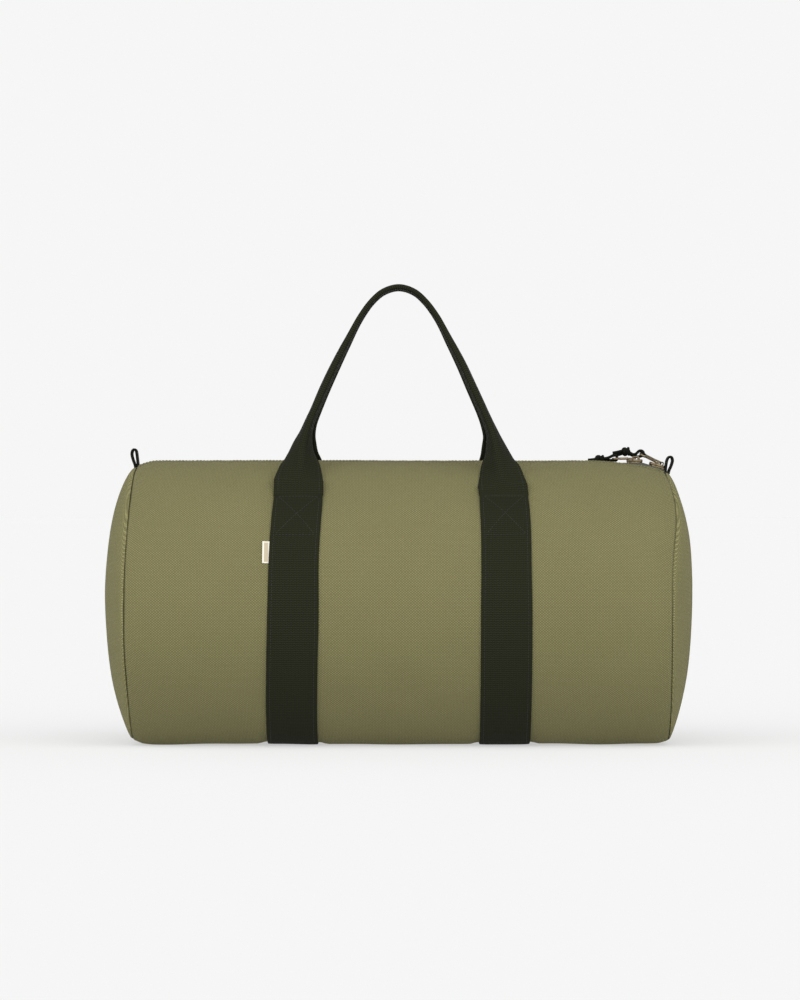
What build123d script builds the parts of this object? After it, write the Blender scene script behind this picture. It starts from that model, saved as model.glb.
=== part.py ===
"""Barrel duffel bag: canvas barrel with domed ends, webbing straps and carry handles, and a two-slider zip.

Frame: X runs along the bag, -Y is its front, +Z is up. The origin is on the ground, under the middle.
Millimetres. Each sub-part is written to parts/NAME.step.
"""

import math
import os

from build123d import *

os.makedirs("parts", exist_ok=True)

# ---- Driving dimensions -------------------------------------------------------------------------
HEIGHT = 290.0  # ground to the top of the canvas
BARREL_R = 151.0  # outer radius of the sides and top
CORNER_R = 80.0  # outer radius where the sides turn under
CANVAS = 1.2  # canvas thickness
WEBBING = 2.0  # webbing thickness
WEBBING_W = 50.0  # webbing width
SEWN_GAP = 0.15  # between two sewn layers
FIT_GAP = 0.3  # between two pieces that move apart
BASE_Z = WEBBING + SEWN_GAP  # underside of the canvas, which rests on the straps
AXIS_Z = HEIGHT - BARREL_R  # centre of the big arc
CORNER_Z = BASE_Z + CORNER_R
CORNER_Y = math.sqrt((BARREL_R - CORNER_R) ** 2 - (AXIS_Z - CORNER_Z) ** 2)
SCALE_Z = 145.0  # the sections shrink towards this height at the ends

SEAM_X = 275.0  # end seams
DOME = 27.0  # how far the end panels bulge past the seams
LEFT_SEAM, RIGHT_SEAM = 0.948, 0.94  # size of the end seams, as a share of the barrel
LEFT_SHOULDER = [(-SEAM_X, LEFT_SEAM), (-271.0, 0.968), (-264.0, 0.985), (-252.0, 1.0)]
RIGHT_SHOULDER = [(250.0, 1.0), (258.0, 0.99), (266.0, 0.971), (271.0, 0.955), (SEAM_X, RIGHT_SEAM)]
DOME_SHARES = [0.0, 0.12, 0.28, 0.46, 0.64, 0.8, 0.91, 0.97, 0.995]

# Mouth: two flaps of canvas, each with its half of the zip
MOUTH_X0, MOUTH_X1 = -204.0, 185.0
MOUTH_Y = 61.0  # fold line of each flap
SLOT_Y = 11.0  # canvas edge beside the zip
END_GAP = 0.4

# Zip
CHAIN_Z = 287.7
CHAIN_T = 2.6
COIL_Y0, COIL_Y1 = 0.8, 4.3
TAPE_T = 0.7
TAPE_Y = 17.0
ZIP_X0, ZIP_X1 = -262.0, 271.5
ZIP_SLOPE_X = 250.0  # past this the zip runs down over the shoulder
ZIP_SLOPE = 17.0  # degrees
SLOPE_TAPE_Y = 10.7

# Sliders and pullers
SLIDER_L, SLIDER_W = 16.5, 12.2
PLATE_T = 1.7
CHANNEL = 3.2
LIP_T, LIP_H = 0.9, 0.75
POST_W, POST_L = 1.0, 4.0
CROWN_L, CROWN_W, CROWN_T, CROWN_H = 6.4, 3.2, 1.0, 3.5
LEFT_CROWN_X, RIGHT_CROWN_X = 0.8, 3.2
LEFT_SLIDER_X = 241.5
RIGHT_SLIDER_X = 264.0
PIVOT_H = 4.5  # puller's bar above the middle of the chain
PULLER_L, PULLER_W, PULLER_T = 22.5, 8.0, 1.6
BAR_R = 0.8
EYE_L, EYE_W = 5.6, 4.4
HOLE_L, HOLE_W, TIP_BAR = 3.4, 4.0, 1.6
LEFT_PULLER_TILT = 4.0  # degrees above level
RIGHT_PULLER_TILT = 27.0
CORD_D = 2.6

# Straps and handles
LEFT_STRAP_X, RIGHT_STRAP_X = -107.0, 106.0
ROOT_ANGLE = 39.8  # degrees from the top, where the handles leave the barrel
# Left half of a front handle: x, y, z of its middle, width across, depth front to back
HANDLE_STATIONS = [
    (-103.5, -90.5, 272.0, 47.0, 5.0),
    (-100.2, -82.5, 290.0, 36.5, 9.0),
    (-98.0, -73.0, 306.0, 21.5, 16.0),
    (-94.0, -65.0, 321.0, 14.5, 21.0),
    (-89.8, -59.0, 333.5, 11.0, 23.5),
    (-84.6, -53.5, 346.0, 9.5, 24.5),
    (-64.0, -38.0, 391.5, 9.2, 25.0),
    (-38.5, -23.0, 438.5, 8.0, 25.0),
    (-21.0, -16.5, 459.5, 6.4, 25.0),
]
HANDLE_APEX = (0.0, -14.0, 467.0, 5.4, 25.0)

# End loops, side label and seam binding
LOOP_W, LOOP_T, LOOP_OUT = 20.0, 2.6, 8.2
LEFT_LOOP_H, RIGHT_LOOP_H = 18.8, 14.2
LABEL_W, LABEL_T = 7.5, 1.0
LABEL_ANGLES = (63.0, 71.8)
BINDING_X, BINDING_T, BINDING_H, BINDING_GAP = 269.0, 3.0, 9.0, 4.5


def save(part, name):
    """Labels a finished piece and writes its STEP file."""
    part.label = name
    export_step(part, f"parts/{name}.step")


# ---- Barrel sections ----------------------------------------------------------------------------
def barrel_face(x, scale=1.0, inset=0.0):
    """Section of the barrel at x, inset from the canvas's outer face and scaled."""
    radius, corner = BARREL_R - inset, CORNER_R - inset
    reach = BARREL_R - CORNER_R
    along = (CORNER_Y / reach, (CORNER_Z - AXIS_Z) / reach)
    turn = math.radians(90 + math.degrees(math.atan2(along[1], along[0]))) / 2
    floor = CORNER_Z - corner

    def at(y, z):
        return (y * scale, SCALE_Z + (z - SCALE_Z) * scale)

    join = (along[0] * radius, AXIS_Z + along[1] * radius)
    middle = (CORNER_Y + corner * math.sin(turn), CORNER_Z - corner * math.cos(turn))
    with BuildSketch(Plane.YZ.offset(x)) as section:
        with BuildLine():
            Line(at(-CORNER_Y, floor), at(CORNER_Y, floor))
            ThreePointArc(at(CORNER_Y, floor), at(*middle), at(*join))
            ThreePointArc(at(*join), at(radius, AXIS_Z), at(0, AXIS_Z + radius))
            ThreePointArc(at(0, AXIS_Z + radius), at(-radius, AXIS_Z), at(-join[0], join[1]))
            ThreePointArc(at(-join[0], join[1]), at(-middle[0], middle[1]), at(-CORNER_Y, floor))
        make_face()
    return section.sketch.face()


def barrel_faces(stations, inset=0.0):
    """One barrel section at each (x, scale), for a loft."""
    return [barrel_face(x, scale, inset) for x, scale in stations]


def dome_stations(sign, scale, inset=0.0):
    """Stations of an end panel, from its seam out to its middle, on an ellipse."""
    deep = DOME - inset
    shrink = scale * (1 - inset / BARREL_R)
    start = SEAM_X + FIT_GAP
    return [(sign * (start + deep * u), shrink * math.sqrt(1 - u * u)) for u in DOME_SHARES]


# ---- Canvas panels ------------------------------------------------------------------------------
with BuildPart() as main_panel:
    loft(barrel_faces(LEFT_SHOULDER + RIGHT_SHOULDER), ruled=True)
    loft(barrel_faces(LEFT_SHOULDER + RIGHT_SHOULDER, CANVAS), ruled=True, mode=Mode.SUBTRACT)
    with Locations(((MOUTH_X0 + MOUTH_X1) / 2, 0, HEIGHT)):
        Box(MOUTH_X1 - MOUTH_X0 + 2 * END_GAP, 2 * (MOUTH_Y + FIT_GAP), 60, mode=Mode.SUBTRACT)
    with Locations((0, 0, HEIGHT)):
        Box(2 * SEAM_X + 10, 2 * SLOT_Y, 40, mode=Mode.SUBTRACT)
save(main_panel.part, "main_panel")

for side_name, sign, seam_scale in (("left", -1, LEFT_SEAM), ("right", 1, RIGHT_SEAM)):
    with BuildPart() as end_panel:
        loft(barrel_faces(dome_stations(sign, seam_scale)), ruled=True)
        loft(barrel_faces(dome_stations(sign, seam_scale, CANVAS)), ruled=True, mode=Mode.SUBTRACT)
    save(end_panel.part, f"end_panel_{side_name}")

    with BuildPart() as seam_binding:
        extrude(barrel_face(sign * BINDING_X, seam_scale, CANVAS + BINDING_GAP), BINDING_T)
        inside = barrel_face(sign * BINDING_X, seam_scale, CANVAS + BINDING_GAP + BINDING_H)
        extrude(inside, BINDING_T, mode=Mode.SUBTRACT)
        with Locations((sign * BINDING_X, 0, HEIGHT)):
            Box(20, 2 * (TAPE_Y + 1), 60, mode=Mode.SUBTRACT)
    save(seam_binding.part, f"seam_binding_{side_name}")


# ---- Straps, sewn to the barrel all the way round underneath -------------------------------------
def strap(x):
    """A webbing band from the front handle's root, under the bag, to the rear handle's root."""
    x0 = x - WEBBING_W / 2
    wedge = math.radians(ROOT_ANGLE)
    reach = 400.0
    corner = (reach * math.sin(wedge), reach * math.cos(wedge))
    with BuildPart() as band:
        extrude(barrel_face(x0, inset=-SEWN_GAP - WEBBING), WEBBING_W)
        extrude(barrel_face(x0, inset=-SEWN_GAP), WEBBING_W, mode=Mode.SUBTRACT)
        with BuildSketch(Plane.YZ.offset(x)):
            with Locations((0, AXIS_Z)):
                Polygon((0, 0), corner, (-corner[0], corner[1]), align=None)
        extrude(amount=WEBBING_W, both=True, mode=Mode.SUBTRACT)
    return band.part


save(strap(LEFT_STRAP_X), "strap_left")
save(strap(RIGHT_STRAP_X), "strap_right")


# ---- Handles ------------------------------------------------------------------------------------
def handle_sections():
    """Section frames of the front handle from its left root over the top to its right root."""
    root = math.radians(ROOT_ANGLE - 0.35)
    middle = BARREL_R + SEWN_GAP + WEBBING / 2
    start = (-104.5, -middle * math.sin(root), AXIS_Z + middle * math.cos(root))
    left = [(*start, WEBBING_W, WEBBING)] + HANDLE_STATIONS
    right = [(-x, y, z, w, d) for x, y, z, w, d in reversed(left)]
    return left + [HANDLE_APEX] + right


def handle():
    """The front handle: flat webbing at its roots, folded in half along its grip."""
    stations = handle_sections()
    points = [Vector(*s[:3]) for s in stations]
    with BuildPart() as grip:
        for i, (x, y, z, width, depth) in enumerate(stations):
            before, after = points[max(i - 1, 0)], points[min(i + 1, len(points) - 1)]
            tangent = (after - before).normalized()
            if i in (0, len(stations) - 1):
                root = math.radians(ROOT_ANGLE)
                rise = Vector(0, math.cos(root), math.sin(root))
                tangent = rise if i == 0 else -rise
            across = Vector(0, 1, 0) - tangent * tangent.Y
            if i in (0, 1, len(stations) - 2, len(stations) - 1):
                across = tangent.cross(Vector(1, 0, 0)) * (1 if i < 3 else -1)
            side = across.normalized().cross(tangent)
            frame = Plane(origin=(x, y, z), x_dir=side, z_dir=tangent)
            with BuildSketch(frame):
                Rectangle(width, depth)
        loft(ruled=True)
    return grip.part


front_handle = handle()
save(front_handle, "handle_front")
save(mirror(front_handle, about=Plane.XZ), "handle_rear")


# ---- Mouth flaps and their halves of the zip -----------------------------------------------------
def arc_strip(y0, y1, r0, r1, x0, x1):
    """A strip between two radii of the barrel's top, from y0 to y1 and from x0 to x1."""
    with BuildPart() as strip:
        with BuildSketch(Plane.YZ.offset((x0 + x1) / 2)):
            with Locations((0, AXIS_Z)):
                Circle(r1)
                Circle(r0, mode=Mode.SUBTRACT)
            with Locations(((y0 + y1) / 2, HEIGHT)):
                Rectangle(abs(y1 - y0), 60, mode=Mode.INTERSECT)
        extrude(amount=(x1 - x0) / 2, both=True)
    return strip.part


TAPE_R = CHAIN_Z - AXIS_Z + TAPE_T / 2
for side_name, sign in (("front", -1), ("rear", 1)):
    flap = arc_strip(sign * SLOT_Y, sign * MOUTH_Y, BARREL_R - CANVAS, BARREL_R, MOUTH_X0, MOUTH_X1)
    save(flap, f"mouth_flap_{side_name}")
    tape = arc_strip(sign * COIL_Y1, sign * TAPE_Y, TAPE_R - TAPE_T, TAPE_R, MOUTH_X0, MOUTH_X1)
    save(tape, f"zip_tape_{side_name}")
    with BuildPart() as coil:
        with Locations(((MOUTH_X0 + MOUTH_X1) / 2, sign * (COIL_Y0 + COIL_Y1) / 2, CHAIN_Z)):
            Box(MOUTH_X1 - MOUTH_X0, COIL_Y1 - COIL_Y0, CHAIN_T)
    save(coil.part, f"zip_coil_{side_name}")


def zip_run(y0, y1, thick, x0, x1):
    """A strip of the zip from x0 to x1, straight and then down the shoulder past ZIP_SLOPE_X."""
    fall = math.tan(math.radians(ZIP_SLOPE))
    xs = [x0, ZIP_SLOPE_X, x1] if x1 > ZIP_SLOPE_X else [x0, x1]
    zs = [CHAIN_Z - max(0.0, x - ZIP_SLOPE_X) * fall for x in xs]
    upper = [(x, z + thick / 2) for x, z in zip(xs, zs)]
    lower = [(x, z - thick / 2) for x, z in zip(xs, zs)]
    with BuildPart() as run:
        with BuildSketch(Plane.XZ.offset(-(y0 + y1) / 2)):
            Polygon(*upper, *reversed(lower), align=None)
        extrude(amount=abs(y1 - y0) / 2, both=True)
    return run.part


for end_name, x0, x1 in (
    ("left", ZIP_X0, MOUTH_X0 - END_GAP),
    ("right", MOUTH_X1 + END_GAP, ZIP_X1),
):
    for side_name, sign in (("front", -1), ("rear", 1)):
        closed_coil = zip_run(sign * COIL_Y0, sign * COIL_Y1, CHAIN_T, x0, x1)
        closed_tape = zip_run(sign * COIL_Y1, sign * SLOPE_TAPE_Y, TAPE_T, x0, x1)
        save(closed_coil, f"zip_coil_{side_name}_{end_name}_end")
        save(closed_tape, f"zip_tape_{side_name}_{end_name}_end")

with BuildPart() as stop_left:
    with Locations((ZIP_X0 - 1.6, 0, CHAIN_Z)):
        Box(2.6, 8.0, 3.6)
    fillet(stop_left.edges().filter_by(Axis.X), 0.8)
save(stop_left.part, "zip_stop_left")


# ---- Sliders ------------------------------------------------------------------------------------
def slider_body(nose, crown_x):
    """A slider about the middle of the chain: two plates, side lips, a post at its nose and a crown."""
    half = CHANNEL / 2
    with BuildPart() as body:
        for sign in (-1, 1):
            with Locations((0, 0, sign * (half + PLATE_T / 2))):
                Box(SLIDER_L, SLIDER_W, PLATE_T)
            for lip in (-1, 1):
                with Locations((0, lip * (SLIDER_W - LIP_T) / 2, sign * (half - LIP_H / 2))):
                    Box(SLIDER_L, LIP_T, LIP_H)
        with Locations((nose * (SLIDER_L / 2 - POST_L / 2), 0, 0)):
            Box(POST_L, POST_W, CHANNEL)
        fillet(body.edges().filter_by(Axis.Z).group_by(SortBy.LENGTH)[-1], 0.3)
        deck = half + PLATE_T
        with BuildSketch(Plane.XZ):
            with Locations((crown_x, deck + CROWN_H / 2)):
                Rectangle(CROWN_L, CROWN_H)
            with Locations((crown_x, deck + (CROWN_H - CROWN_T) / 2)):
                Rectangle(CROWN_L - 2 * CROWN_T, CROWN_H - CROWN_T, mode=Mode.SUBTRACT)
        extrude(amount=CROWN_W / 2, both=True)
    return body.part


def puller_body():
    """A puller along -X from its pivot bar at the origin, with an eye there and a cord hole at its tip."""
    with BuildPart() as tab:
        with Locations((-PULLER_L / 2, 0, 0)):
            Box(PULLER_L, PULLER_W, PULLER_T)
        fillet(tab.edges().filter_by(Axis.Z).group_by(Axis.X)[0], 2.2)
        with Locations((-BAR_R - EYE_L / 2 + BAR_R, 0, 0)):
            Box(EYE_L, EYE_W, PULLER_T, mode=Mode.SUBTRACT)
        with Locations((-PULLER_L + TIP_BAR + HOLE_L / 2, 0, 0)):
            Box(HOLE_L, HOLE_W, PULLER_T, mode=Mode.SUBTRACT)
        with Locations(Location((0, 0, 0), (90, 0, 0))):
            Cylinder(BAR_R, PULLER_W)
    return tab.part


def chain_height(x):
    """Height of the middle of the chain at x."""
    return CHAIN_Z - max(0.0, x - ZIP_SLOPE_X) * math.tan(math.radians(ZIP_SLOPE))


left_place = Location((LEFT_SLIDER_X, 0, CHAIN_Z))
right_place = Location((RIGHT_SLIDER_X, 0, chain_height(RIGHT_SLIDER_X)), (0, ZIP_SLOPE, 0))
save(slider_body(1, LEFT_CROWN_X).moved(left_place), "slider_left")
save(slider_body(-1, RIGHT_CROWN_X).moved(right_place), "slider_right")

left_pivot = left_place * Location((LEFT_CROWN_X, 0, PIVOT_H))
right_pivot = right_place * Location((RIGHT_CROWN_X, 0, PIVOT_H))
puller = puller_body()
left_turn = Location(left_pivot.position, (0, LEFT_PULLER_TILT, 0))
right_turn = Location(right_pivot.position, (0, RIGHT_PULLER_TILT, 0))
save(puller.moved(left_turn), "puller_left")
save(puller.moved(right_turn), "puller_right")
print("left pivot", left_pivot.position, "right pivot", right_pivot.position)


# ---- Pull cords ---------------------------------------------------------------------------------
def cord_points(turn, sideways, knot, tip_a, tip_b):
    """The route of a cord doubled through a puller's hole, from one tail's tip to the other's.

    turn is the puller's place. The two strands leave the hole along the puller, or sideways.
    """
    rise = CORD_D
    hole = -PULLER_L + TIP_BAR + HOLE_L / 2
    if sideways:
        local = [(hole, 6.6, rise), (hole, -0.3, rise), (hole, -0.3, -rise), (hole, 6.6, -rise)]
    else:
        out = hole - 7.5
        local = [(out, 0, rise), (hole, 0, rise), (hole, 0, -rise), (out, 0, -rise)]
    through = [tuple((turn * Location(p)).position) for p in local]
    return [tip_a, knot[0], *through, knot[1], tip_b]


def cord_tube(name, points):
    """A tube along straight runs and tangent arcs, with each arc as large as its runs allow."""
    ends = [Vector(*p) for p in points]
    runs = [(b - a).length for a, b in zip(ends, ends[1:])]
    radii = []
    for a, b, c, before, after in zip(ends, ends[1:], ends[2:], runs, runs[1:]):
        turn = math.radians((b - a).get_angle(c - b))
        radii.append(0.45 * min(before, after) / math.tan(turn / 2))
    print(name, "radii", [round(r, 1) for r in radii])
    with BuildPart() as tube:
        with BuildLine() as path:
            route = FilletPolyline(*points, radius=radii)
        with BuildSketch(Plane(route @ 0, z_dir=route % 0)):
            Circle(CORD_D / 2)
        sweep()
    length = sum(edge.length for edge in path.edges())
    expected = length * math.pi * (CORD_D / 2) ** 2
    print(name, "length", round(length, 1), "volume share", round(tube.part.volume / expected, 3))
    return tube.part


def cord_knot(centre, size):
    """The closed outer shape of an overhand knot: a rounded block."""
    with BuildPart() as knot:
        with Locations(centre):
            Box(*size)
        fillet(knot.edges(), 0.45 * min(size))
    return knot.part


LEFT_KNOT = (205.5, 0.0, 292.6)
RIGHT_KNOT = (232.5, 10.2, 299.0)
left_route = cord_points(
    left_turn,
    False,
    [(206.0, -1.5, 293.1), (206.0, 1.5, 292.2)],
    (193.5, -2.6, 292.0),
    (194.5, 2.4, 291.2),
)
right_route = cord_points(
    right_turn,
    True,
    [(233.5, 8.7, 300.3), (233.5, 11.6, 298.2)],
    (219.5, 8.3, 298.8),
    (220.5, 11.8, 296.2),
)
save(cord_tube("cord_left", left_route), "cord_left")
save(cord_tube("cord_right", right_route), "cord_right")
save(cord_knot(LEFT_KNOT, (11.0, 8.4, 6.2)), "cord_knot_left")
save(cord_knot(RIGHT_KNOT, (10.5, 8.0, 7.0)), "cord_knot_right")


# ---- End loops, label and zip stop ---------------------------------------------------------------
def end_loop(x, z, lean, height):
    """A folded webbing loop that stands in an end seam, leaning outwards."""
    gap = LOOP_OUT - 2 * LOOP_T
    with BuildPart() as loop:
        with BuildSketch(Plane.XZ):
            with Locations((0, height / 2)):
                RectangleRounded(LOOP_OUT, height, LOOP_OUT / 2 - 0.05)
                RectangleRounded(gap, height - 2 * LOOP_T, gap / 2 - 0.05, mode=Mode.SUBTRACT)
        extrude(amount=LOOP_W / 2, both=True)
    return loop.part.moved(Location((x, 0, z), (0, lean, 0)))


save(end_loop(-271.0, 284.6, -8.0, LEFT_LOOP_H), "end_loop_left")
save(end_loop(277.3, 282.0, 8.0, RIGHT_LOOP_H), "end_loop_right")

with BuildPart() as side_label:
    label_x = LEFT_STRAP_X - WEBBING_W / 2 - 0.2 - LABEL_W / 2
    with BuildSketch(Plane.YZ.offset(label_x)):
        with Locations((0, AXIS_Z)):
            Circle(BARREL_R + SEWN_GAP + LABEL_T)
            Circle(BARREL_R + SEWN_GAP, mode=Mode.SUBTRACT)
            far = 220.0
            rays = [
                (-far * math.sin(math.radians(a)), far * math.cos(math.radians(a)))
                for a in LABEL_ANGLES
            ]
            Polygon((0, 0), *rays, align=None, mode=Mode.INTERSECT)
    extrude(amount=LABEL_W / 2, both=True)
save(side_label.part, "side_label")
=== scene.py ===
"""Looks of the barrel duffel bag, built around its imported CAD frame. Blender 4.5, metres."""

import math

import bmesh
import bpy
import numpy as np
from mathutils import Matrix, Vector


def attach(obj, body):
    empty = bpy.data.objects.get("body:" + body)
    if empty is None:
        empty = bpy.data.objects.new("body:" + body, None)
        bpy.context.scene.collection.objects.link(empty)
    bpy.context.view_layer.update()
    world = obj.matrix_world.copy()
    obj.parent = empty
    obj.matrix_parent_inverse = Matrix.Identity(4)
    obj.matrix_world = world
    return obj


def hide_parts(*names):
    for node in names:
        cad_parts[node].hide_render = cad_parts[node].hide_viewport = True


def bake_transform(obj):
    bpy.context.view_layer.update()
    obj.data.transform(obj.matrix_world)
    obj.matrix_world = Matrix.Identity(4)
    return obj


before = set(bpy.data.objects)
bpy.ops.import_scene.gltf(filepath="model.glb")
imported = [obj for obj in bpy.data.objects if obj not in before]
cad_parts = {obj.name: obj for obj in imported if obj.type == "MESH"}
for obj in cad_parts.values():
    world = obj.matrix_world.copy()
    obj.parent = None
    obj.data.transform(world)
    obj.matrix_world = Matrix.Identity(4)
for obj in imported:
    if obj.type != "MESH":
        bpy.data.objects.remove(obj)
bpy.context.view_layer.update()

MM = 0.001
rng = np.random.default_rng(7)

# ---- Sizes in millimetres, as in the CAD ----
R, CORNER_R = 151.0, 80.0
AXIS_Z, CORNER_Z, BASE_Z = 139.0, 82.15, 2.15
CORNER_Y = math.sqrt((R - CORNER_R) ** 2 - (AXIS_Z - CORNER_Z) ** 2)
JOIN = math.pi / 2 + math.atan2(AXIS_Z - CORNER_Z, CORNER_Y)
ARC = R * JOIN
TURN = ARC + CORNER_R * (math.pi - JOIN)
HALF = TURN + CORNER_Y
GIRTH = 2 * HALF
SEAM_X = 275.0
DRAWN_X, DRAWN_Z = 250.0, 145.0  # where the ends begin to draw in, and the height that they draw in to
END_REACH = 140.0  # about how far it is from an end panel's seam to its middle
DOME = {-1: (27.4, 0.6, 0.8), 1: (24.1, 0.58, 0.88)}  # how far each end stands out; how full above and below
CANVAS, WEBBING, WEB_W = 1.2, 2.0, 50.0
SLOT, MOUTH_W = 9.0, 88.0  # half of the zip's opening and of the mouth, round the bag
HEM_ROWS = (11.2, 17.5)  # the two rows of stitches beside the zip
CHAIN_Z, SLOPE_X, SLOPE = 287.7, 250.0, math.radians(17.0)
ZIP_X0, ZIP_X1 = -262.0, 271.5
ROOT, ROOT_LAP = R * math.radians(39.6), 1.5  # where strap and handle meet, and half of their overlap
STRAP_X = {-1: -102.0, 1: 104.3}
CORD_R = 1.5


# ---- Helpers ----
def smooth(t):
    """Smooth step from 0 to 1."""
    t = np.clip(t, 0.0, 1.0)
    return t * t * (3 - 2 * t)


def bump(d, width):
    """A bell of this width."""
    return np.exp(-((d / width) ** 2))


def unit(v):
    return v / np.maximum(np.linalg.norm(v, axis=-1, keepdims=True), 1e-9)


def lengths(points):
    """How far along a line of points each of them is."""
    return np.concatenate([[0], np.cumsum(np.linalg.norm(np.diff(points, axis=0), axis=1))])


def read(at, run, rows):
    """Rows of numbers at these distances along a line."""
    return np.stack([np.interp(at, run, column) for column in np.transpose(rows)], -1)


def circle(count):
    return np.linspace(0, 2 * math.pi, count, endpoint=False)


def from_top(w):
    """How far w is from the top line, whichever way round the bag is shorter."""
    return np.minimum(w, GIRTH - w)


WAVES = [
    (rng.uniform(-1, 1) * f, rng.uniform(-1, 1) * f, rng.uniform(0, 6.28), 1.0 / (1 + 22 * f))
    for f in rng.uniform(0.01, 0.11, 26)
]


def ripple(x, w):
    """Gentle unevenness of cloth, about 1 either way."""
    return sum(size * np.sin(a * x + b * w + phase) for a, b, phase, size in WAVES) / 2.6


def put_in_scene(name, data):
    made = bpy.data.objects.new(name, data)
    bpy.context.scene.collection.objects.link(made)
    return made


def settle(piece, slot, *nodes, body="bag"):
    """The body that a piece rides, its material slot, which is not used, and the CAD nodes that it stands for.
    """
    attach(piece, body)
    if nodes:
        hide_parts(*nodes)


def mesh_object(name, verts, faces, materials, uv=None, index=None, normals=None):
    """A mesh object from millimetre vertices, with uv in millimetres at each vertex."""
    mesh = bpy.data.meshes.new(name)
    mesh.from_pydata((np.asarray(verts, float) * MM).tolist(), [], [tuple(map(int, f)) for f in faces])
    for material in materials:
        mesh.materials.append(material)
    if uv is not None:
        layer = mesh.uv_layers.new(name="UVMap")
        loops = np.empty(len(mesh.loops), dtype=np.int32)
        mesh.loops.foreach_get("vertex_index", loops)
        layer.data.foreach_set("uv", (np.asarray(uv, float)[loops] * MM).ravel())
    if index is not None:
        mesh.polygons.foreach_set("material_index", np.asarray(index, dtype=np.int32))
    mesh.polygons.foreach_set("use_smooth", [True] * len(mesh.polygons))
    mesh.validate()
    if normals is not None:
        mesh.normals_split_custom_set_from_vertices(unit(np.asarray(normals, float)).tolist())
    return put_in_scene(name, mesh)


def ring_faces(rows, cols, closed=False):
    """Quads between rings of points, and a face over each end unless the last ring meets the first."""
    ids = np.arange(rows * cols).reshape(rows, cols)
    if closed:
        ids = np.vstack([ids, ids[:1]])
    after = np.roll(ids, -1, 1)
    quads = np.stack([ids[:-1], after[:-1], after[1:], ids[1:]], -1).reshape(-1, 4)
    ends = [] if closed else [ids[0][::-1], ids[-1]]
    return [tuple(face) for face in [*quads, *ends]]


class Build:
    """Collects vertices, faces, uv, normals and material numbers for one mesh."""

    def __init__(self):
        self.v, self.f, self.uv, self.n, self.m = [], [], [], [], []
        self.count = 0

    def add(self, verts, faces, uv, normals, material=0):
        self.v.append(np.asarray(verts, float))
        self.uv.append(np.asarray(uv, float))
        self.n.append(np.asarray(normals, float))
        self.f.extend([tuple(int(i) + self.count for i in face) for face in faces])
        self.m.extend([material] * len(faces))
        self.count += len(verts)

    def grid(self, p, n, uv, keep=None, flip=False, material=0):
        """Quads over a grid of points, where keep (one flag for each quad) allows."""
        rows, cols = p.shape[:2]
        ids = np.arange(rows * cols).reshape(rows, cols)
        quads = np.stack([ids[:-1, :-1], ids[1:, :-1], ids[1:, 1:], ids[:-1, 1:]], -1)
        if keep is not None:
            quads = quads[keep]
        quads = quads.reshape(-1, 4)
        if flip:
            quads = quads[:, ::-1]
        used, back = np.unique(quads, return_inverse=True)
        flat = lambda a: a.reshape(rows * cols, -1)[used]
        self.add(flat(p), back.reshape(quads.shape), flat(uv), flat(n), material)

    def rim(self, a, b, uv, normal, flip=False):
        """A strip of quads between two lines of points."""
        p = np.stack([a, b], 1)
        normals = np.broadcast_to(np.asarray(normal, float).reshape(-1, 1, 3), p.shape)
        self.grid(p, normals, np.stack([uv, uv], 1), flip=flip)

    def make(self, name, materials):
        v, uv, n = (np.concatenate(a) for a in (self.v, self.uv, self.n))
        return mesh_object(name, v, self.f, materials, uv, self.m, n)


# ---- The bag's surface ----
def section(w):
    """(y, z) on the barrel's section, w millimetres from the top down the front."""
    w = np.asarray(w, float)
    s = from_top(w)
    side = np.where(w < HALF, -1.0, 1.0)
    turn = JOIN + (s - ARC) / CORNER_R
    corner_y, corner_z = CORNER_Y + CORNER_R * np.sin(turn), CORNER_Z + CORNER_R * np.cos(turn)
    y = np.where(s < ARC, R * np.sin(s / R), np.where(s < TURN, corner_y, CORNER_Y - (s - TURN)))
    z = np.where(s < ARC, AXIS_Z + R * np.cos(s / R), np.where(s < TURN, corner_z, BASE_Z))
    return side * y, z


def strap_x(w, side):
    """Middle of a strap at w. Both slant a little as they go down, the left one further."""
    s = from_top(w)
    if side < 0:
        return STRAP_X[side] - 4.4 * smooth((s - 80) / 125) - 2.6 * smooth((s - 210) / 150)
    return STRAP_X[side] + 2.0 * smooth((s - 80) / 90)


# How far each end seam wanders along the bag: down from the top line, and the shift there
SEAM_SHIFT = {
    -1: ((0, 70, 142, 200, 275, 350, 390, 471), (4.4, 2.8, 1.0, -1.2, -1.8, 1.8, 2.6, 2.6)),
    1: ((0, 50, 96, 128, 155, 190, 277, 364, 471), (-2.7, -2.0, 2.7, 4.0, 1.8, -2.2, -2.4, -1.4, -1.4)),
}


def seam_shift(w, sign):
    """The end seam's shift at w, evened out over a short stretch."""
    return sum(np.interp(from_top(w) + k, *SEAM_SHIFT[sign]) for k in (-18, -9, 0, 9, 18)) / 5


def shape(x, w):
    """Points of the canvas's outer face before its seams and folds."""
    y, z = section(w)
    s = from_top(w)
    over = np.clip((np.abs(x) - DRAWN_X) / (SEAM_X - DRAWN_X), 0, 1)
    tuck = np.where(x > 0, 0.034, 0.043) - 0.022 * smooth((s - 240) / 160)
    scale = 1 - tuck * over**2.2
    droop = 6.4 * smooth((x - 196) / 78) * smooth(1.25 - s / 165)
    near_end = smooth((np.abs(x) - 195) / 80)
    x = x + near_end * np.where(x < 0, seam_shift(w, -1), seam_shift(w, 1))
    z = DRAWN_Z + (z - DRAWN_Z) * scale - droop
    return np.stack([np.broadcast_to(x, y.shape), y * scale, z], -1)


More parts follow.
